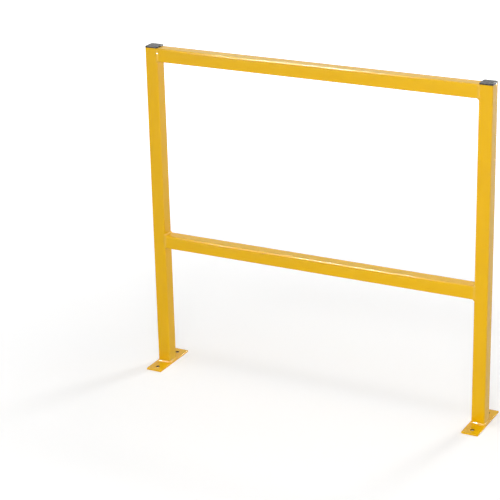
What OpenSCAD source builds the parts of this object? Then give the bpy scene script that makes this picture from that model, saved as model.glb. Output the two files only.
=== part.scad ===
// Tubular perimeter guard: two posts and two rails of square steel tube, welded into one frame
// on two flat feet that bolt to the floor, with a ribbed plastic cap pushed into each post.
// X runs along the guard, Y from its front to its back, and Z up from the floor.
// The origin is on the floor, midway between the posts.

/* [Guard] */
// Height from the floor to the top of the caps
guard_h = 1000; // [700:10:1400]
// Length over the outer faces of the two posts
guard_l = 1065; // [600:5:2400]
// Height from the floor to the middle of the lower rail
mid_rail_h = 400; // [200:10:550]

/* [Square tube] */
// Width of the square tube that the posts and rails are cut from
tube_w = 40; // [30:1:60]
// Wall thickness of the tube
tube_wall = 2.5; // [1.5:0.5:3]
// Outside radius of the tube's corners
tube_r = 4; // [3.5:0.5:7]

/* [Base plates] */
// Length of a base plate, from front to back
plate_l = 170; // [150:5:300]
// How far a base plate stands out past each side of its post
plate_margin = 5; // [5:1:40]
// Thickness of a base plate
plate_t = 5; // [4:1:15]
// Radius of a base plate's corners
plate_r = 2.5; // [1:0.5:10]
// Diameter of the holes for the floor bolts
hole_d = 12; // [8:1:16]
// Distance between the two holes of a base plate
hole_spacing = 120; // [100:5:130]

/* [Weld beads] */
// Leg of a bead, measured along each of the two faces that it joins
weld_leg = 4; // [2.5:0.5:5]
// How far the face of a bead bulges past a straight line between its legs
weld_bulge = 0.5; // [0.2:0.1:0.8]
// Height of a bead's crown where tube and post lie flush
weld_crown = 0.8; // [0.3:0.1:1.5]
// How far a flush bead laps onto the flat of the post
weld_lap = 1; // [0.5:0.5:3]
// Distance from the flat of the post's side to the root of a flush bead, across the post
weld_root = 1; // [0.5:0.5:2]
// Distance from the top of the posts down to the ends of the top rail's beads
weld_stop = 1; // [0.5:0.5:3]

/* [End caps] */
// Thickness of a cap's head, which covers the end of the post
cap_head_t = 5; // [4:0.5:10]
// Radius of the rounded rim of a cap's head
cap_rim_r = 1.5; // [0.5:0.5:3]
// Length of a cap's plug, which stands inside the post
cap_plug_l = 18; // [14:1:40]
// Wall thickness of a cap's plug
cap_plug_wall = 1.6; // [1:0.2:3]
// Gap between a cap's plug and the tube's wall, which the ribs bridge
cap_plug_gap = 2.5; // [1.5:0.5:4]
// Number of ribs round a cap's plug
cap_ribs = 3; // [1:1:4]
// Thickness of a rib where it leaves the plug
cap_rib_root = 1.6; // [1:0.2:2.4]
// Thickness of a rib at its thin outer edge
cap_rib_tip = 0.6; // [0.4:0.1:0.8]
// Clearance between the ribs and the tube's wall
cap_fit = 0.1; // [0:0.05:0.3]

/* [Hidden] */
$fn = 64;

coat = "#E8B42A";
cap_black = "#1C1C1E";

post_x = (guard_l - tube_w) / 2;
post_top = guard_h - cap_head_t;
rail_l = guard_l - 2 * tube_w;
top_rail_h = post_top - tube_w / 2;
bore_w = tube_w - 2 * tube_wall;
bore_r = max(tube_r - tube_wall, 0.5);
plate_w = tube_w + 2 * plate_margin;
plug_w = bore_w - 2 * cap_plug_gap;
plug_r = bore_r;
rib_pitch = cap_plug_l / (cap_ribs + 0.5);

// A circle through two points a chord apart, bulging past them by rise, has this radius
function arc_radius(chord, rise) = (chord * chord / 4 + rise * rise) / (2 * rise);

// Outline of a bar with rounded corners, centred on the origin
module rounded_bar(length, width, radius) {
    square([length - 2 * radius, width], center = true);
    square([length, width - 2 * radius], center = true);
    for (x = [-1, 1], y = [-1, 1])
        translate([x * (length / 2 - radius), y * (width / 2 - radius)])
            circle(r = radius);
}

// Cross-section of the square tube
module tube_section() {
    difference() {
        rounded_bar(tube_w, tube_w, tube_r);
        rounded_bar(bore_w, bore_w, bore_r);
    }
}

// Carries a flat profile once round a rounded square of the given width and corner radius.
// The profile's x is the distance outwards from the square, and its y is the height.
module round_the_square(width, radius) {
    flat = width / 2 - radius;
    for (turn = [0 : 90 : 270])
        rotate([0, 0, turn]) {
            translate([width / 2, flat, 0])
                rotate([90, 0, 0])
                    linear_extrude(2 * flat)
                        children();
            translate([flat, flat, 0])
                rotate_extrude(angle = 90)
                    translate([radius, 0])
                        children();
        }
}

// Section of a fillet bead in the corner between two faces, with a bulging outer face
module bead_section() {
    chord = weld_leg * sqrt(2);
    radius = arc_radius(chord, weld_bulge);
    centre = weld_leg / 2 - (radius - weld_bulge) / sqrt(2);
    intersection() {
        square(weld_leg);
        translate([centre, centre])
            circle(r = radius);
    }
}

// Plan of the space that a rail's bead may fill: flush with the tube, with a low crown on
// the front and the back that runs from the flat of the post to just past the bead's toe
module crown_plan() {
    back = tube_r + weld_lap;
    width = back + weld_leg + weld_lap;
    radius = arc_radius(width, weld_crown);
    middle = width / 2 - back;
    square([4 * width, tube_w], center = true);
    for (side = [-1, 1])
        intersection() {
            translate([middle, side * (tube_w / 2 + weld_crown - radius)])
                circle(r = radius);
            translate([middle, side * tube_w / 2])
                square([2 * width, 3 * weld_crown], center = true);
        }
}

// Plan of the post beside a bead, filled out to a straight side as far as the bead's root
module post_plan() {
    rooted = tube_w - 2 * tube_r + 2 * weld_root;
    rounded_bar(tube_w, tube_w, tube_r);
    translate([0, -rooted / 2])
        square([tube_w / 2, rooted]);
}

// Bead round the end of a rail that runs towards +X from the face of its post at x = 0.
// It fills the groove beside the post's rounded corners, and stops at the height above.
module rail_weld(above) {
    tail = tube_r + 2 * weld_lap;
    core = tube_w + weld_leg;
    reach = tube_w + 2 * weld_leg;
    difference() {
        intersection() {
            rotate([0, 90, 0]) {
                round_the_square(tube_w, tube_r) {
                    bead_section();
                    translate([0, -tail])
                        square([weld_leg, tail]);
                }
                translate([0, 0, -tail])
                    linear_extrude(tail)
                        rounded_bar(core, core, tube_r + weld_leg / 2);
            }
            translate([0, 0, -reach])
                linear_extrude(reach + above)
                    crown_plan();
        }
        translate([-tube_w / 2, 0, -reach])
            linear_extrude(2 * reach)
                post_plan();
    }
}

module post() {
    color(coat)
        translate([0, 0, plate_t])
            linear_extrude(post_top - plate_t)
                tube_section();
}

module rail(height) {
    color(coat)
        translate([-rail_l / 2, 0, height])
            rotate([0, 90, 0])
                linear_extrude(rail_l)
                    tube_section();
}

module base_plate() {
    color(coat)
        linear_extrude(plate_t)
            difference() {
                rounded_bar(plate_w, plate_l, plate_r);
                for (side = [-1, 1])
                    translate([0, side * hole_spacing / 2])
                        circle(d = hole_d);
            }
}

module foot_weld() {
    color(coat)
        translate([0, 0, plate_t])
            round_the_square(tube_w, tube_r)
                bead_section();
}

// Head of a cap: a plate of the tube's outline with a quarter-round rim
module cap_head() {
    inner = tube_w - 2 * cap_rim_r;
    inner_r = tube_r - cap_rim_r;
    linear_extrude(cap_head_t - cap_rim_r)
        rounded_bar(tube_w, tube_w, tube_r);
    linear_extrude(cap_head_t)
        rounded_bar(inner, inner, inner_r);
    translate([0, 0, cap_head_t - cap_rim_r])
        round_the_square(inner, inner_r)
            intersection() {
                square(cap_rim_r);
                circle(r = cap_rim_r);
            }
}

// Plug of a cap: an open square sleeve below the head, with thin ribs that grip the tube
module cap_plug() {
    hollow = plug_w - 2 * cap_plug_wall;
    rib_l = cap_plug_gap - cap_fit;
    translate([0, 0, -cap_plug_l])
        linear_extrude(cap_plug_l)
            difference() {
                rounded_bar(plug_w, plug_w, plug_r);
                rounded_bar(hollow, hollow, 0.5);
            }
    for (rib = [1 : cap_ribs])
        translate([0, 0, -rib * rib_pitch])
            round_the_square(plug_w, plug_r)
                polygon([
                    [0, -cap_rib_root / 2],
                    [rib_l, -cap_rib_tip / 2],
                    [rib_l, cap_rib_tip / 2],
                    [0, cap_rib_root / 2]
                ]);
}

module cap() {
    color(cap_black)
        translate([0, 0, post_top]) {
            cap_head();
            cap_plug();
        }
}

// Places a left-hand piece at the left post, and its mirror image at the right one
module at_left() {
    translate([-post_x, 0, 0])
        children();
}

module at_right() {
    mirror([1, 0, 0])
        at_left()
            children();
}

// Bead of the left-hand end of a rail, seen from the middle of the left post
module rail_end(height, above) {
    color(coat)
        translate([tube_w / 2, 0, height])
            rail_weld(above);
}

at_left() post();  // left_post
at_right() post();  // right_post
rail(top_rail_h);  // top_rail
rail(mid_rail_h);  // mid_rail
at_left() base_plate();  // left_base_plate
at_right() base_plate();  // right_base_plate
at_left() cap();  // left_cap
at_right() cap();  // right_cap
at_left() rail_end(top_rail_h, tube_w / 2 - weld_stop);  // left_top_weld
at_right() rail_end(top_rail_h, tube_w / 2 - weld_stop);  // right_top_weld
at_left() rail_end(mid_rail_h, tube_w);  // left_mid_weld
at_right() rail_end(mid_rail_h, tube_w);  // right_mid_weld
at_left() foot_weld();  // left_foot_weld
at_right() foot_weld();  // right_foot_weld
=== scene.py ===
# %% [markdown]
# A tubular perimeter guard, dressed
#
# The guard is one welded frame: two posts and two rails of square steel tube, two flat feet with
# holes for floor bolts, a weld bead round every joint, and a black plastic cap in each post. The
# steel is powder coated in a glossy golden yellow.
#
# Every surface here is a grid of points worked out with numpy. A rounded square is carried along
# an axis for the tubes and the caps, a bead's section is carried round each joint, and a foot is
# a surface stretched between a bolt hole and the outline of the plate.

import math

import bpy
import numpy as np
from mathutils import Matrix, Vector


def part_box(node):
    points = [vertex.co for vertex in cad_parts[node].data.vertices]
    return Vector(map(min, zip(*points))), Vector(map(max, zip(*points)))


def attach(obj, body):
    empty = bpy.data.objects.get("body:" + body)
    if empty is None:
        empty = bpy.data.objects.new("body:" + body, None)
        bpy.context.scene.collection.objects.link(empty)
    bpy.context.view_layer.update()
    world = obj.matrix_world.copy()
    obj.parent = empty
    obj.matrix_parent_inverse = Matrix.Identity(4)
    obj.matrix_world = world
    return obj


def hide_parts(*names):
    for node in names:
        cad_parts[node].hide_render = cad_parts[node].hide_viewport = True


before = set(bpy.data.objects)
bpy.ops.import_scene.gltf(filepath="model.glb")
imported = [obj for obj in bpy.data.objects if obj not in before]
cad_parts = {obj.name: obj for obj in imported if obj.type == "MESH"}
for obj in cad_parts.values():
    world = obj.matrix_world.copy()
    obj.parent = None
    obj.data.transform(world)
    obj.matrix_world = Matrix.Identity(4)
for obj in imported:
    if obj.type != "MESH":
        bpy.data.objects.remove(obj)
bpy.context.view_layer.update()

# %% [markdown]
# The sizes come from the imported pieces, so that each new surface lies where its solid is. Only
# what a box can't tell is written here: the corner radius and the wall of the tube, and the few
# roundings of sawn steel, thick coating and moulded plastic.

# %% Read the sizes of the pieces
MM = 0.001


def corners_of(node):
    """Lowest and highest corner of a solid, as two arrays."""
    low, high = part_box(node)
    return np.array(low), np.array(high)


post_low, post_high = corners_of("left_post")
rail_low, rail_high = corners_of("top_rail")
mid_low, mid_high = corners_of("mid_rail")
plate_low, plate_high = corners_of("left_base_plate")
cap_low, cap_high = corners_of("left_cap")

HALF = (post_high[0] - post_low[0]) / 2
TUBE_R = 4 * MM
WALL = 2.5 * MM
BORE_R = TUBE_R - WALL
POST_X = -(post_high[0] + post_low[0]) / 2
POST_TOP = post_high[2]
PLATE_T = plate_high[2]
SIDES = {"left": 1, "right": -1}
print("tube", round(2 * HALF / MM, 1), "mm square, posts", round(2 * POST_X / MM, 1), "mm apart")

# %% [markdown]
# A grid of points becomes a mesh by joining each point to its neighbours. A grid can be closed
# either way, so a tube with a wall is one grid that closes both ways. The volume that the faces
# enclose has a sign, and a negative one means that they look inwards, so it turns them round.

# %% Turn grids of points into pieces
def grid_faces(rows, columns, close_rows=False, close_columns=True):
    """Four-sided faces between neighbouring rows and columns of a grid, as rows of indices."""
    index = np.arange(rows * columns).reshape(rows, columns)
    if close_rows:
        index = np.vstack([index, index[:1]])
    if close_columns:
        index = np.hstack([index, index[:, :1]])
    quads = np.stack([index[:-1, :-1], index[:-1, 1:], index[1:, 1:], index[1:, :-1]], axis=-1)
    return quads.reshape(-1, 4)


def enclosed_volume(points, faces):
    """Sum of the tetrahedra from the origin to each face's triangles: a x b . c / 6."""
    total = 0.0
    for face in (faces[:, [0, 1, 2]], faces[:, [0, 2, 3]]):
        a, b, c = points[face[:, 0]], points[face[:, 1]], points[face[:, 2]]
        total += np.einsum("ij,ij->i", np.cross(a, b), c).sum() / 6
    return total


def make_piece(name, points, faces, end_rings=(), sharp=38.0, hollow=None):
    """One closed mesh from points, four-sided faces and the rings that close its ends."""
    fans = [np.column_stack([np.full(len(r) - 2, r[0]), r[1:-1], r[2:], r[2:]]) for r in end_rings]
    volume = enclosed_volume(points, np.vstack([faces, *fans]))
    loops = [face.tolist() for face in faces] + [ring.tolist() for ring in end_rings]
    if volume < 0:
        loops = [loop[::-1] for loop in loops]
    mesh = bpy.data.meshes.new(name)
    mesh.from_pydata(points.tolist(), [], loops)
    mesh.polygons.foreach_set("use_smooth", np.ones(len(loops), bool))
    mesh.set_sharp_from_angle(angle=math.radians(sharp))
    if hollow is not None:
        mesh.attributes.new("hollow", "FLOAT", "POINT").data.foreach_set("value", hollow)
    piece = bpy.data.objects.new(name, mesh)
    bpy.context.scene.collection.objects.link(piece)
    even = piece.modifiers.new("even faces", "WEIGHTED_NORMAL")
    even.keep_sharp = True
    print(f"{name}: {len(points)} points, {abs(volume) * 1e6:.1f} cm3")
    return piece


def stand_in(piece, node, slot):
    """Hangs a new piece on the root body, hides the solid that it takes the place of, and lists it
    under one slot of the record for its finish.
    """
    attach(piece, "root")
    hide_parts(node)
    pieces_of[slot].append(piece)


pieces_of = {"yellow_powder_coat": [], "coated_weld": [], "black_cap_plastic": []}

# %% [markdown]
# The tube, the cap and the beads all follow a rounded square. Written as two sets of directions,
# one set serves every size: a point lies at (half - radius) times the direction to its corner,
# plus the radius times the direction outwards.

# %% Rounded square
def square_loop(steps=8, flats=1):
    """Directions to the corners and outwards, once round a rounded square.

    A quarter is an arc of so many steps, where the corner stays and the outward direction turns
    by 90 degrees, and then a flat of so many parts, where the corner slides to the next one."""
    turn = np.r_[np.linspace(0, 90, steps + 1), np.full(flats - 1, 90.0)]
    slide = np.r_[np.zeros(steps + 1), np.linspace(0, 1, flats + 1)[1:-1]]
    start = 90.0 * np.arange(4)[:, None]
    outwards = np.radians(turn + start).ravel()
    corner = np.radians(45 + start)
    x = math.sqrt(2) * ((1 - slide) * np.cos(corner) - slide * np.sin(corner))
    y = math.sqrt(2) * ((1 - slide) * np.sin(corner) + slide * np.cos(corner))
    to_corner = np.column_stack([x.ravel(), y.ravel()])
    return to_corner, np.column_stack([np.cos(outwards), np.sin(outwards)])


def square_rings(stations, steps=8, flats=1):
    """Rounded squares of (half width, radius, height), one above the other, as a grid."""
    to_corner, outwards = square_loop(steps, flats)
    half, radius, height = np.array(stations, float).T[:, :, None, None]
    ring = (half - radius) * to_corner + radius * outwards
    return np.concatenate([ring, np.broadcast_to(height, ring.shape[:2] + (1,))], axis=2)


def quarter_round(size, steps=4):
    """Rows of (inset, drop) round an eased edge, from the flat face above to the wall below.

    They are a quarter circle: inset = size (1 - sin t) and drop = size (1 - cos t)."""
    turn = np.linspace(0, math.pi / 2, steps + 1)
    return np.column_stack([size * (1 - np.sin(turn)), size * (1 - np.cos(turn))])


print("a rounded square has", len(square_loop()[0]), "points")

# %% [markdown]
# The posts and rails are lengths of welded square hollow section, sawn to length. A rounded
# square is carried along the outside, over the sawn end with its slightly eased edge, back
# through the bore and over the other end. That grid closes both ways, so the tube has its wall
# and can be looked into like the real one.

# %% Posts and rails
SAWN_EDGE = 0.3 * MM


def tube_grid(length):
    """Square tube from height 0 up to its length: outside, sawn end, bore and sawn end."""
    inset, drop = quarter_round(SAWN_EDGE).T
    near = np.column_stack([HALF - inset, TUBE_R - inset, drop])
    far = np.column_stack([HALF - inset, TUBE_R - inset, length - drop])
    bore = HALF - WALL
    inside = [[bore, BORE_R, length], [bore, BORE_R, 0]]
    return square_rings(np.vstack([near, far[::-1], inside]))


def make_tube(name, node, low, high, axis):
    """A tube along Z or X that fills the box of its solid."""
    grid = tube_grid(high[axis] - low[axis])
    rows, columns = grid.shape[:2]
    points = np.roll(grid.reshape(-1, 3), axis + 1, axis=1)
    middle = (low + high) / 2
    middle[axis] = low[axis]
    piece = make_piece(name, points + middle, grid_faces(rows, columns, close_rows=True))
    stand_in(piece, node, "yellow_powder_coat")


for side in SIDES:
    make_tube(f"{side}_post_tube", f"{side}_post", *corners_of(f"{side}_post"), axis=2)
make_tube("top_rail_tube", "top_rail", rail_low, rail_high, axis=0)
make_tube("mid_rail_tube", "mid_rail", mid_low, mid_high, axis=0)

# %% [markdown]
# Each foot is a piece of flat bar with a drilled hole in front of the post and one behind it. A
# plate with two holes can't be one grid, but half a plate can: rings start in the hole, widen
# over its eased rim, jump to the outline and go down round the thickness. The faces on the
# middle line are left out, and the half and its mirror image share the points there.

# %% Base plates
PLATE_R = 2.5 * MM
PLATE_EDGE = 0.6 * MM
HOLE_R = 6 * MM
HOLE_Y = -60 * MM
HOLE_RIM = 0.5 * MM
BORE_SHADE_RIM = 0.6  # share of the eased rim that the bore's painted shade and thin coat reach
MIDDLE_PARTS = 12
SIDE_PARTS = 18
CORNER_PARTS = 6
END_PARTS = 10
SAME_PLACE = 9  # decimals of a metre to which two points count as one
plate_half_w = (plate_high[0] - plate_low[0]) / 2
plate_half_l = (plate_high[1] - plate_low[1]) / 2


def half_outline(inset):
    """Outline of the front half of a plate, shrunk by the inset, which leaves the middle line.

    It runs along the middle line, down one side, round an arc, across the end and back up."""
    w = plate_half_w - inset
    l = plate_half_l - inset
    r = PLATE_R - inset
    turn = np.linspace(0, math.pi / 2, CORNER_PARTS + 1)
    middle_x = np.linspace(w, -w, MIDDLE_PARTS + 1)[:-1]
    side_y = np.linspace(0, r - l, SIDE_PARTS + 1)[:-1]
    end_x = np.linspace(r - w, w - r, END_PARTS + 1)[1:-1]
    middle = np.column_stack([middle_x, np.zeros(len(middle_x))])
    down = np.column_stack([np.full(len(side_y), -w), side_y])
    arc = np.column_stack([r - w - r * np.cos(turn), r - l - r * np.sin(turn)])
    across = np.column_stack([end_x, np.full(len(end_x), -l)])
    back = arc[::-1] * [-1, 1]
    up = down[:0:-1] * [-1, 1]
    return np.vstack([middle, down, arc, across, back, up])


def hole_ring(radius):
    """Circle round the bolt hole, with each point on the line to its point of the outline."""
    bearing = half_outline(0) - [0, HOLE_Y]
    return [0, HOLE_Y] + radius * bearing / np.linalg.norm(bearing, axis=1, keepdims=True)


def plate_grid():
    """Rings of half a plate: up the bore, over the top to the outline, down it and back below."""
    rim = [(hole_ring(HOLE_R + inset), PLATE_T - drop) for inset, drop in quarter_round(HOLE_RIM)]
    edge = [(half_outline(inset), PLATE_T - drop) for inset, drop in quarter_round(PLATE_EDGE)]
    above = rim[::-1] + edge
    below = [(ring, PLATE_T - height) for ring, height in reversed(above)]
    return np.array([np.column_stack([ring, np.full(len(ring), z)]) for ring, z in above + below])


def make_plate(side, sign):
    """Both halves of a foot as one closed mesh, under the post of its side. Its hollow attribute
    is 1 on the walls of the bolt holes."""
    grid = plate_grid()
    rows, columns = grid.shape[:2]
    points = grid.reshape(-1, 3)
    faces = grid_faces(rows, columns, close_rows=True)
    on_middle = np.all(np.round(points[faces, 1], SAME_PLACE) == 0, axis=1)
    faces = faces[~on_middle]
    both = np.vstack([points, points * [1, -1, 1]])
    both_faces = np.vstack([faces, faces[:, ::-1] + len(points)])
    both, index = np.unique(np.round(both, SAME_PLACE), axis=0, return_inverse=True)
    both_faces = index.ravel()[both_faces]
    # The walls of the bolt holes are marked for painted shade in the finish.
    from_hole = np.hypot(both[:, 0], np.abs(both[:, 1]) + HOLE_Y)
    bore = (from_hole < HOLE_R + BORE_SHADE_RIM * HOLE_RIM).astype(float)
    both = both + [-sign * POST_X, 0, 0]
    piece = make_piece(f"{side}_foot_flat", both, both_faces, hollow=bore)
    stand_in(piece, f"{side}_base_plate", "yellow_powder_coat")


for side, sign in SIDES.items():
    make_plate(side, sign)

# %% [markdown]
# A weld bead is molten wire laid along a joint in one pass. It cools in overlapping crescents,
# like a row of coins pushed over, and no two are quite alike. It is drawn as a section carried
# along the joint: from a toe on one piece to a toe on the other with a bulge between them, and
# back through a root hidden in the steel. The crescents lift the surface, the toes wander a
# little, and an attribute remembers the hollows, where the coating pools and where the finish
# paints shade into the colour.

# %% Bead along a joint
WELD_LEG = 4 * MM
WELD_BULGE = 0.5 * MM
WELD_CROWN = 0.6 * MM
WELD_LAP = 1 * MM
WELD_SINK = 0.1 * MM
TOE_WANDER = 0.3 * MM
COIN = 4.6 * MM
COIN_LEAD = 0.8
COIN_LIFT = 0.32 * MM
COIN_POWER = 0.8
COIN_SIZES = (0.6, 1.3)
RIPPLE_HOLLOW = 0.5
ARC_STEPS = 22
FLAT_STEPS = 100
ACROSS = 13


def wander(count, seed, waves=12):
    """A random line from -1 to 1 that closes: sine waves of whole periods and random phases."""
    draw = np.random.default_rng(seed)
    period = np.arange(1, waves + 1)
    size = draw.normal(size=waves) / np.sqrt(period)
    phase = draw.uniform(0, 2 * math.pi, waves)
    line = np.sin(np.outer(2 * math.pi * np.arange(count) / count, period) + phase) @ size
    return line / np.abs(line).max()


def bead_grid(track, seed, closed=True):
    """Points and hollows of a bead: toe + t (other toe - toe) + rise (height crown + coins).

    The crown is 4t (1 - t) to the power of the ease, which is 2 where the toes run out softly. A
    coin is |sin| of the distance along the bead, and runs ahead in the middle of the bead. A
    hollow is a toe or the dip between two coins, and is fainter where the toes run out softly."""
    toe, other, root, rise, height, ease = track
    gaps = np.diff((toe + other) / 2, axis=0, append=(toe + other)[:1] / 2)
    along = np.cumsum(np.linalg.norm(gaps, axis=1))
    length = along[-1] if closed else along[-2]
    coins = round(length / COIN)
    across = np.linspace(0, 1, ACROSS)
    arch = 4 * across * (1 - across)
    crown = arch ** ease[:, None]
    coin = (coins * along / length)[:, None] - COIN_LEAD * arch
    scallop = np.abs(np.sin(math.pi * coin)) ** COIN_POWER
    sizes = np.random.default_rng(seed).uniform(*COIN_SIZES, coins)
    size = sizes[np.floor(coin).astype(int) % coins]
    fade = np.sqrt(arch) ** ease[:, None] ** 2
    lift = height[:, None] * crown + COIN_LIFT * size * scallop * fade
    chord = across[:, None] * (other - toe)[:, None]
    skin = toe[:, None] + chord + lift[..., None] * rise[:, None]
    points = np.concatenate([skin, root[:, None]], axis=1)
    # The finish darkens these hollows: pooled coating, and painted shade in the toes and dips.
    dip = np.maximum((1 - arch) ** 2, RIPPLE_HOLLOW * (1 - scallop) ** 2)
    hollow = dip / ease[:, None] ** 2
    return points, np.column_stack([hollow, np.ones(len(hollow))])


def make_bead(name, node, grid, hollow, closed=True):
    """A bead as one closed mesh. An open one has its two end sections closed."""
    rows, columns = grid.shape[:2]
    index = np.arange(rows * columns).reshape(rows, columns)
    ends = [] if closed else [index[0, ::-1], index[-1]]
    faces = grid_faces(rows, columns, close_rows=closed)
    piece = make_piece(name, grid.reshape(-1, 3), faces, ends, sharp=60.0, hollow=hollow.ravel())
    stand_in(piece, node, "coated_weld")


print("a bead has a crescent every", round(COIN / MM, 1), "mm")

# %% [markdown]
# Round the foot of a post the bead is a plain fillet between the plate and the tube. Its toes
# are two rounded squares, one on the plate a leg's length out, one on the post a leg's length up.

# %% Beads round the feet
ROOT_DEPTH = 0.6 * MM
flat = HALF - TUBE_R


def unit(vectors):
    """Each row shortened to length 1."""
    return vectors / np.linalg.norm(vectors, axis=1, keepdims=True)


def foot_track(seed):
    """Toes, root, rise, height and ease of the bead round a post that stands at the origin."""
    to_corner, outwards = square_loop(ARC_STEPS, FLAT_STEPS)
    count = len(to_corner)

    def ring(radius, height):
        return np.column_stack([flat * to_corner + radius * outwards, height])

    low_leg = WELD_LEG + TOE_WANDER * wander(count, seed)
    high_leg = WELD_LEG + TOE_WANDER * wander(count, seed + 1)
    on_plate = ring((TUBE_R + low_leg)[:, None], np.full(count, PLATE_T - WELD_SINK))
    on_post = ring(TUBE_R - WELD_SINK, PLATE_T + high_leg)
    root = ring(TUBE_R - ROOT_DEPTH, np.full(count, PLATE_T - ROOT_DEPTH))
    rise = unit(np.column_stack([outwards, np.ones(count)]))
    return on_plate, on_post, root, rise, np.full(count, WELD_BULGE), np.ones(count)


for place, (side, sign) in enumerate(SIDES.items()):
    grid, hollow = bead_grid(foot_track(seed=10 + 3 * place), seed=12 + 3 * place)
    make_bead(f"{side}_foot_bead", f"{side}_foot_weld", grid + [-sign * POST_X, 0, 0], hollow)

# %% [markdown]
# A rail is as wide as its post, so its bead changes on the way round. Above and below the rail it
# is a fillet in a square corner. In front and behind, rail and post lie flush, and the bead fills
# the groove that the post's round corner leaves and stands over it as a low crown. At the corners
# of the rail one turns into the other, while the toe on the post slides round its round corner.
# The top rail is flush with the top of the posts as well, so there the bead stops at both ends.

# %% Beads round the ends of the rails
GROOVE_X = 1.5 * MM
GROOVE_DEPTH = 2.5 * MM
STOP_BELOW_TOP = 1 * MM
END_ROUND = 1.5 * MM
END_SIZE = 0.3


def rail_track(seed, stops):
    """Toes, root, rise, height and ease of a bead at a post face x = 0, round a rail along +X.

    The share of fillet is the square of the outward direction's height: 1 over and under the
    rail, 0 in front and behind. A bead that stops has no fillet over the rail."""
    to_corner, outwards = square_loop(ARC_STEPS, FLAT_STEPS)
    start_on_top = -(ARC_STEPS + FLAT_STEPS // 2)
    corner_y, corner_z = np.roll(to_corner, start_on_top, axis=0).T
    out_y, out_z = np.roll(outwards, start_on_top, axis=0).T
    count = len(out_y)
    leg_z = np.minimum(out_z, 0) if stops else out_z
    fillet = leg_z**2
    flush = 1 - fillet
    post_leg = WELD_LEG + TOE_WANDER * wander(count, seed)
    rail_leg = WELD_LEG + WELD_LAP * flush + TOE_WANDER * wander(count, seed + 1)

    quarter = TUBE_R * math.pi / 2
    run = np.sqrt(flush) * (quarter + WELD_LAP + TOE_WANDER * wander(count, seed + 2))
    turn = np.minimum(run / TUBE_R, math.pi / 2)
    past = np.maximum(run - quarter, 0)
    post_out = np.column_stack([np.cos(turn), np.sin(turn) * np.sign(out_y), np.zeros(count)])
    on_post = np.column_stack([-TUBE_R - past, flat * corner_y, flat * corner_z + TUBE_R * out_z])
    on_post = on_post + (TUBE_R - WELD_SINK) * post_out
    on_post[:, 2] += post_leg * leg_z

    def ring(x, radius):
        return np.column_stack([x, flat * corner_y + radius * out_y, flat * corner_z + radius * out_z])

    on_rail = ring(rail_leg, TUBE_R - WELD_SINK)
    depth = ROOT_DEPTH * fillet + GROOVE_DEPTH * flush
    root = ring(-ROOT_DEPTH * fillet - GROOVE_X * flush, TUBE_R - depth)
    rise = unit(np.column_stack([fillet, out_y, out_z]))
    height = WELD_BULGE * fillet + WELD_CROWN * flush
    track = (on_post, on_rail, root, rise, height, 1 + flush)
    kept = flat * corner_z + TUBE_R * out_z < HALF - STOP_BELOW_TOP
    return tuple(part[kept] for part in track) if stops else track


def round_ends(grid, root):
    """Draws the last sections of an open bead in towards their root, along a quarter circle.

    The size of a section is e + (1 - e) sqrt(1 - (1 - s)^2), where s runs from 0 at the end of
    the bead to 1 where the rounding starts, and e is the size of the end itself."""
    along = np.r_[0, np.cumsum(np.linalg.norm(np.diff(root, axis=0), axis=1))]
    from_end = np.clip(np.minimum(along, along[-1] - along) / END_ROUND, 0, 1)
    size = END_SIZE + (1 - END_SIZE) * np.sqrt(1 - (1 - from_end) ** 2)
    return root[:, None] + size[:, None, None] * (grid - root[:, None])


def place_at_post(grid, sign, height):
    """Moves a bead from the post face x = 0 to the face of the left post, or of the right one."""
    return (grid - [POST_X - HALF, 0, 0]) * [sign, 1, 1] + [0, 0, height]


for place, (side, sign) in enumerate(SIDES.items()):
    mid_height = (mid_low[2] + mid_high[2]) / 2
    grid, hollow = bead_grid(rail_track(seed=20 + 4 * place, stops=False), seed=23 + 4 * place)
    make_bead(f"{side}_mid_bead", f"{side}_mid_weld", place_at_post(grid, sign, mid_height), hollow)

    top_height = (rail_low[2] + rail_high[2]) / 2
    track = rail_track(seed=30 + 4 * place, stops=True)
    grid, hollow = bead_grid(track, seed=33 + 4 * place, closed=False)
    grid = place_at_post(round_ends(grid, track[2]), sign, top_height)
    make_bead(f"{side}_top_bead", f"{side}_top_weld", grid, hollow, closed=False)

# %% [markdown]
# The caps are moulded in one piece: a head as wide as the post with a rounded rim, and a hollow
# plug under it with thin ribs that bend a little as the cap is knocked in and then grip the tube.
# One stack of rounded squares makes it, from the middle of the slightly domed top, over the rim,
# down the ribs and up into the hollow.

# %% End caps
CAP_RIM = 1.5 * MM
CAP_DOME = 0.3 * MM
DOME_RINGS = (0.2, 0.45, 0.7, 0.88)
CAP_SEAT = 0.3 * MM
PLUG_HALF = 15 * MM
PLUG_WALL = 1.6 * MM
RIBS = 3
RIB_PITCH = (POST_TOP - cap_low[2]) / (RIBS + 0.5)
RIB_REACH = 2.4 * MM
RIB_ROOT = 0.8 * MM
RIB_TIP = 0.3 * MM


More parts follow.
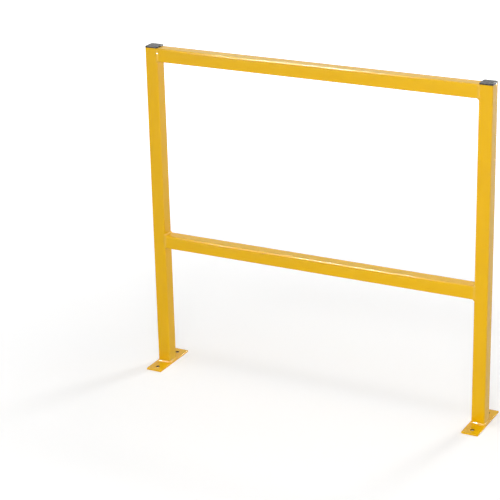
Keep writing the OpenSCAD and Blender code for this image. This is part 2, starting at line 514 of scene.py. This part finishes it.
def cap_stations():
    """Rows of (half width, radius, height) from the middle of the top to the roof of the hollow."""
    top, bottom = cap_high[2], cap_low[2]
    edge = HALF - CAP_RIM
    share = np.array(DOME_RINGS)
    dome = np.column_stack([share * edge, share * (TUBE_R - CAP_RIM), top - CAP_DOME * share**2])
    inset, drop = quarter_round(CAP_RIM, steps=8).T
    rim_height = top - CAP_DOME - (1 - CAP_DOME / CAP_RIM) * drop
    rim = np.column_stack([HALF - inset, TUBE_R - inset, rim_height])
    inset, drop = quarter_round(CAP_SEAT).T
    seat = np.column_stack([HALF - inset, TUBE_R - inset, POST_TOP + drop])[::-1]
    middle = POST_TOP - RIB_PITCH * np.arange(1, RIBS + 1)[:, None]
    reach = np.array([0, RIB_REACH, RIB_REACH, 0])
    height = (middle + [RIB_ROOT, RIB_TIP, -RIB_TIP, -RIB_ROOT]).ravel()
    reach = np.tile(reach, RIBS)
    ribs = np.column_stack([PLUG_HALF + reach, BORE_R + reach, height])
    hollow = PLUG_HALF - PLUG_WALL
    inside = [[hollow, BORE_R / 2, bottom], [hollow, BORE_R / 2, POST_TOP]]
    start = [[PLUG_HALF, BORE_R, POST_TOP]]
    end = [[PLUG_HALF, BORE_R, bottom]]
    return np.vstack([dome, rim, seat, start, ribs, end, inside])


def make_cap(side, sign):
    """A cap as one closed mesh in the top of the post of its side."""
    grid = square_rings(cap_stations(), flats=6) + [-sign * POST_X, 0, 0]
    rows, columns = grid.shape[:2]
    index = np.arange(rows * columns).reshape(rows, columns)
    ends = [index[0, ::-1], index[-1]]
    piece = make_piece(f"{side}_cap_moulding", grid.reshape(-1, 3), grid_faces(rows, columns), ends)
    stand_in(piece, f"{side}_cap", "black_cap_plastic")


for side, sign in SIDES.items():
    make_cap(side, sign)

# %% [markdown]
# A finish is a small tree of nodes. Two helpers serve all of them: one turns a colour written as
# on a paint chart into the linear numbers that light is worked out with, and one adds a node
# together with its settings and its links.

# %% Colours and nodes
def colour(code):
    """Linear colour of an sRGB hex value: ((c + 0.055) / 1.055) ** 2.4, or c / 12.92 when dark."""
    srgb = np.array([int(code[i : i + 2], 16) for i in (1, 3, 5)]) / 255
    linear = np.where(srgb <= 0.04045, srgb / 12.92, ((srgb + 0.055) / 1.055) ** 2.4)
    return (*linear.tolist(), 1.0)


def add(tree, kind, inputs, **settings):
    """Adds a node. Settings are its properties, and inputs are values or the sockets to link."""
    node = tree.nodes.new(kind)
    for name, value in settings.items():
        setattr(node, name, value)
    for socket, value in inputs.items():
        if isinstance(value, bpy.types.NodeSocket):
            tree.links.new(value, node.inputs[socket])
        else:
            node.inputs[socket].default_value = value
    return node


def empty_tree(owner):
    """The node tree of a material or a world, with nothing in it."""
    owner.use_nodes = True
    owner.node_tree.nodes.clear()
    return owner.node_tree


def looking_rays(tree):
    """1 for a ray from the camera, a reflection or glass, and 0 for one that gathers light."""
    path = add(tree, "ShaderNodeLightPath", {}).outputs
    direct = {0: path["Is Camera Ray"], 1: path["Is Glossy Ray"]}
    either = add(tree, "ShaderNodeMath", direct, operation="MAXIMUM").outputs[0]
    through = {0: either, 1: path["Is Transmission Ray"]}
    return add(tree, "ShaderNodeMath", through, operation="MAXIMUM").outputs[0]


print("white paper in linear light:", [round(c, 3) for c in colour("#E6E6E6")[:3]])

# %% [markdown]
# The steel has a glossy polyester powder coat: dry powder is sprayed on, clings to the earthed
# steel and melts into one film in the oven. The film gives the eye a warm, even golden yellow, a
# fine orange peel where it flowed, long soft waves in what it reflects, and patches a shade
# lighter or darker where it is thinner or thicker. In the toes and ripples of a bead the melt
# pools, and the yellow is painted deeper there: pooled coating and painted shade in those hollows.
# Little powder gets into a drilled hole, and its wall is painted dark: thin coating and painted
# shade in the bore. The gloss is set lower than the film's own, because this studio is white all
# round, and at full strength it would lay a pale veil over the colour.

# %% Yellow powder coat
PEEL_CELL = 4 * MM  # real orange peel is 2 to 3 mm, drawn coarser so that it shows
PEEL_DEPTH = 0.08 * MM
WAVE_CELL = 90 * MM
WAVE_DEPTH = 0.2 * MM
FILM_CELL = 160 * MM
COAT_DARKER = "#E5AF08"
COAT_LIGHTER = "#EDB90C"
# Deeper yellow for the bead hollows: pooled coating and painted shade.
POOLED_SHADE = "#C98A0A"
# Dark brown for the bolt-hole walls: painted shade in the bore, over thin powder.
BORE_SHADE = "#4A3C1C"


def powder_coat(name, gloss=(0.06, 0.11), shine=0.18, peel=1.0, hollows=0.0, deep=POOLED_SHADE):
    """Gloss polyester powder coat. The roughness goes from one end of the gloss to the other with
    the film, and a share of the deep colour, which paints shade there, fills the hollows that the
    mesh remembers."""
    material = bpy.data.materials.new(name)
    tree = empty_tree(material)
    place = add(tree, "ShaderNodeTexCoord", {}).outputs["Object"]
    film = add(tree, "ShaderNodeTexNoise", {"Vector": place, "Scale": 1 / FILM_CELL, "Detail": 3.0})
    wave = add(tree, "ShaderNodeTexNoise", {"Vector": place, "Scale": 1 / WAVE_CELL, "Detail": 1.0})
    grain = add(tree, "ShaderNodeTexNoise", {"Vector": place, "Scale": 1 / PEEL_CELL, "Detail": 2.0})
    shade = add(
        tree,
        "ShaderNodeMix",
        {"Factor": film.outputs["Fac"], "A": colour(COAT_DARKER), "B": colour(COAT_LIGHTER)},
        data_type="RGBA",
    )
    tint = shade.outputs["Result"]
    if hollows:
        hollow = add(tree, "ShaderNodeAttribute", {}, attribute_name="hollow").outputs["Fac"]
        depth = add(tree, "ShaderNodeMath", {0: hollow, 1: hollows}, operation="MULTIPLY")
        hollow_shade = add(
            tree,
            "ShaderNodeMix",
            {"Factor": depth.outputs[0], "A": tint, "B": colour(deep)},
            data_type="RGBA",
        )
        tint = hollow_shade.outputs["Result"]
    rough = add(
        tree,
        "ShaderNodeMapRange",
        {"Value": film.outputs["Fac"], "To Min": gloss[0], "To Max": gloss[1]},
    )
    waves = add(
        tree,
        "ShaderNodeBump",
        {"Height": wave.outputs["Fac"], "Strength": 1.0, "Distance": WAVE_DEPTH},
    )
    skin = add(
        tree,
        "ShaderNodeBump",
        {
            "Height": grain.outputs["Fac"],
            "Strength": peel,
            "Distance": PEEL_DEPTH,
            "Normal": waves.outputs["Normal"],
        },
    )
    shader = add(
        tree,
        "ShaderNodeBsdfPrincipled",
        {
            "Base Color": tint,
            "Roughness": rough.outputs["Result"],
            "IOR": 1.5,
            "Specular IOR Level": shine,
            "Normal": skin.outputs["Normal"],
        },
    )
    add(tree, "ShaderNodeOutputMaterial", {"Surface": shader.outputs[0]})
    return material


coat = powder_coat("yellow_powder_coat")
# The weld's hollows take the deeper yellow, which is pooled coating and painted shade.
weld = powder_coat("coated_weld", gloss=(0.05, 0.09), shine=0.5, peel=0.6, hollows=0.4)
finishes = {"yellow_powder_coat": coat, "coated_weld": weld}
# The feet get a copy of the coat whose bolt-hole walls are painted dark: painted shade and thin
# powder.
shaded_bore_coat = powder_coat("powder_coat_shaded_bores", hollows=0.9, deep=BORE_SHADE)
print("made", ", ".join(finishes), "and", shaded_bore_coat.name)

# %% [markdown]
# The caps are low-density polyethylene, coloured black and moulded in a tool with a finely eroded
# face. That gives the eye a soft satin black that reflects the studio as a grey sheen, a fine
# even grain, and here and there a faint lighter scuff from handling.

# %% Black cap plastic
GRAIN_CELL = 0.8 * MM  # a real eroded grain is 0.1 to 0.2 mm, drawn coarser so that it shows
GRAIN_DEPTH = 0.06 * MM
SCUFF_CELL = 9 * MM
CAP_BLACK = "#111214"
SCUFF_GREY = "#292B2D"


def moulded_plastic(name):
    """Satin black polyethylene with a fine moulded grain and faint scuffs."""
    material = bpy.data.materials.new(name)
    tree = empty_tree(material)
    place = add(tree, "ShaderNodeTexCoord", {}).outputs["Object"]
    stretch = add(tree, "ShaderNodeMapping", {"Vector": place, "Scale": (1.0, 3.0, 1.0)})
    scuff = add(
        tree,
        "ShaderNodeTexNoise",
        {"Vector": stretch.outputs[0], "Scale": 1 / SCUFF_CELL, "Detail": 4.0},
    )
    worn = add(
        tree,
        "ShaderNodeMapRange",
        {"Value": scuff.outputs["Fac"], "From Min": 0.55, "From Max": 0.75, "To Max": 0.6},
    )
    shade = add(
        tree,
        "ShaderNodeMix",
        {"Factor": worn.outputs["Result"], "A": colour(CAP_BLACK), "B": colour(SCUFF_GREY)},
        data_type="RGBA",
    )
    dull = add(
        tree,
        "ShaderNodeMapRange",
        {"Value": scuff.outputs["Fac"], "To Min": 0.2, "To Max": 0.36},
    )
    grain = add(
        tree,
        "ShaderNodeTexNoise",
        {"Vector": place, "Scale": 1 / GRAIN_CELL, "Detail": 2.0},
    )
    skin = add(
        tree,
        "ShaderNodeBump",
        {"Height": grain.outputs["Fac"], "Strength": 0.5, "Distance": GRAIN_DEPTH},
    )
    shader = add(
        tree,
        "ShaderNodeBsdfPrincipled",
        {
            "Base Color": shade.outputs["Result"],
            "Roughness": dull.outputs["Result"],
            "IOR": 1.51,
            "Specular IOR Level": 0.35,
            "Normal": skin.outputs["Normal"],
        },
    )
    add(tree, "ShaderNodeOutputMaterial", {"Surface": shader.outputs[0]})
    return material


finishes["black_cap_plastic"] = moulded_plastic("black_cap_plastic")
for slot, pieces in pieces_of.items():
    for piece in pieces:
        drilled = slot == "yellow_powder_coat" and "hollow" in piece.data.attributes
        piece.data.materials.append(shaded_bore_coat if drilled else finishes[slot])
    print(slot, "on", len(pieces), "pieces")

# %% [markdown]
# The floor is a wide sheet of white paper. The lamps light it like the guard, so it keeps a soft
# shadow. A little light of its own, which only the camera and reflections see, lifts it to white.
# That share grows away from the guard, where less of the lamps' light arrives.

# %% Floor
FLOOR_HALF = 60.0
FLOOR_LEVEL = -0.2 * MM
GLOW_NEAR = 0.26
GLOW_FROM = 0.7
GLOW_FULL = 4.0


def floor_material():
    """White paper, with added light for rays from the camera, a reflection or glass."""
    material = bpy.data.materials.new("white_paper")
    tree = empty_tree(material)
    place = add(tree, "ShaderNodeTexCoord", {}).outputs["Object"]
    far = add(tree, "ShaderNodeVectorMath", {0: place}, operation="LENGTH")
    share = add(
        tree,
        "ShaderNodeMapRange",
        {
            "Value": far.outputs["Value"],
            "From Min": GLOW_FROM,
            "From Max": GLOW_FULL,
            "To Min": GLOW_NEAR,
            "To Max": 1.0,
        },
    )
    lift = {0: looking_rays(tree), 1: share.outputs[0]}
    strength = add(tree, "ShaderNodeMath", lift, operation="MULTIPLY")
    glow = add(tree, "ShaderNodeEmission", {"Strength": strength.outputs[0]})
    paper = add(tree, "ShaderNodeBsdfDiffuse", {"Color": colour("#E6E6E6")})
    both = add(tree, "ShaderNodeAddShader", {0: glow.outputs[0], 1: paper.outputs[0]})
    add(tree, "ShaderNodeOutputMaterial", {"Surface": both.outputs[0]})
    return material


def make_floor():
    """One large square at floor level."""
    mesh = bpy.data.meshes.new("floor")
    square = [(-1, -1), (1, -1), (1, 1), (-1, 1)]
    corners = [(x * FLOOR_HALF, y * FLOOR_HALF, FLOOR_LEVEL) for x, y in square]
    mesh.from_pydata(corners, [], [(0, 1, 2, 3)])
    mesh.materials.append(floor_material())
    floor = bpy.data.objects.new("floor", mesh)
    bpy.context.scene.collection.objects.link(floor)


make_floor()
print("floor", 2 * FLOOR_HALF, "m wide")

# %% [markdown]
# The studio is a white room. Three soft lamps bring out the colour: the key in front and to the
# right, so that the fronts are the brightest faces, one over the guard for the tops, and one
# behind it. The key and the back lamp don't show in the gloss, where they would blot out a
# stretch of rail. Three smaller lamps do nothing but show there, like strip lights. The rails'
# rounded front edges mirror the edge lamp as a bright line over the middle of the guard and the
# end lamp near its left end, the beads in the inner corners mirror the corner lamp, and the coins
# of the beads break all three into glints.

# %% World and lamps
AMBIENT = 0.42
GUARD_MIDDLE = Vector((0.0, 0.0, 0.5))


def make_world():
    """White where the camera and reflections look, and a softer light on everything else."""
    world = bpy.data.worlds.new("studio")
    bpy.context.scene.world = world
    tree = empty_tree(world)
    seen = looking_rays(tree)
    level = add(tree, "ShaderNodeMapRange", {"Value": seen, "To Min": AMBIENT, "To Max": 1.0})
    sky = add(tree, "ShaderNodeBackground", {"Color": (1, 1, 1, 1), "Strength": level.outputs[0]})
    add(tree, "ShaderNodeOutputWorld", {"Surface": sky.outputs[0]})


def make_lamp(name, place, size, watts, lights=True, shows=True):
    """A square lamp that faces the guard. It lights matt colour, or shows in a gloss, or both."""
    data = bpy.data.lights.new(name, "AREA")
    data.size = size
    data.energy = watts
    lamp = bpy.data.objects.new(name, data)
    lamp.visible_diffuse = lights
    lamp.visible_glossy = shows
    lamp.location = place
    lamp.rotation_euler = (GUARD_MIDDLE - Vector(place)).to_track_quat("-Z", "Y").to_euler()
    bpy.context.scene.collection.objects.link(lamp)


make_world()
make_lamp("key", (1.4, -3.4, 1.8), size=1.6, watts=68, shows=False)
make_lamp("top", (-0.4, -0.5, 4.6), size=1.5, watts=44)
make_lamp("edge", (-2.05, -1.4, 5.3), size=0.85, watts=820, lights=False)
make_lamp("end", (-2.83, -4.75, 1.9), size=0.4, watts=200, lights=False)
make_lamp("back", (1.4, 4.2, 2.7), size=1.0, watts=66, shows=False)
make_lamp("corner", (1.3, 4.1, 2.65), size=0.5, watts=120, lights=False)
print("lamps:", ", ".join(light.name for light in bpy.data.lights))

# %% [markdown]
# The camera stands to the right, well above the guard and far off, with a long lens. These
# values come from fitting the edges of the tubes and the corners of the feet to the photograph.
# The guard isn't in the middle of that frame, so the aim point lies beside it, and the camera is
# rolled by a degree or two so that the posts stand upright in the picture.

# %% Camera
AZIMUTH = math.radians(28.2)
ELEVATION = math.radians(20.7)
DISTANCE = 5.26
AIM = Vector((-0.2145, 0.0, 0.4113))
ROLL = math.radians(1.4)
LENS = 129.0


def make_camera():
    """A camera on a sphere round its aim, rolled about its own axis."""
    data = bpy.data.cameras.new("camera")
    data.sensor_width = 36.0
    data.lens = LENS
    across = math.cos(ELEVATION)
    back = Vector((math.sin(AZIMUTH) * across, -math.cos(AZIMUTH) * across, math.sin(ELEVATION)))
    level = back.to_track_quat("Z", "Y").to_matrix().to_4x4()
    camera = bpy.data.objects.new("camera", data)
    place = Matrix.Translation(AIM + DISTANCE * back)
    camera.matrix_world = place @ level @ Matrix.Rotation(-ROLL, 4, "Z")
    bpy.context.scene.collection.objects.link(camera)
    bpy.context.scene.camera = camera
    return camera


print("camera at", [round(v, 3) for v in make_camera().matrix_world.translation])

# %% [markdown]
# The last line sets how the picture turns light into colour.

# %% Finish
bpy.context.scene.view_settings.view_transform = "Standard"
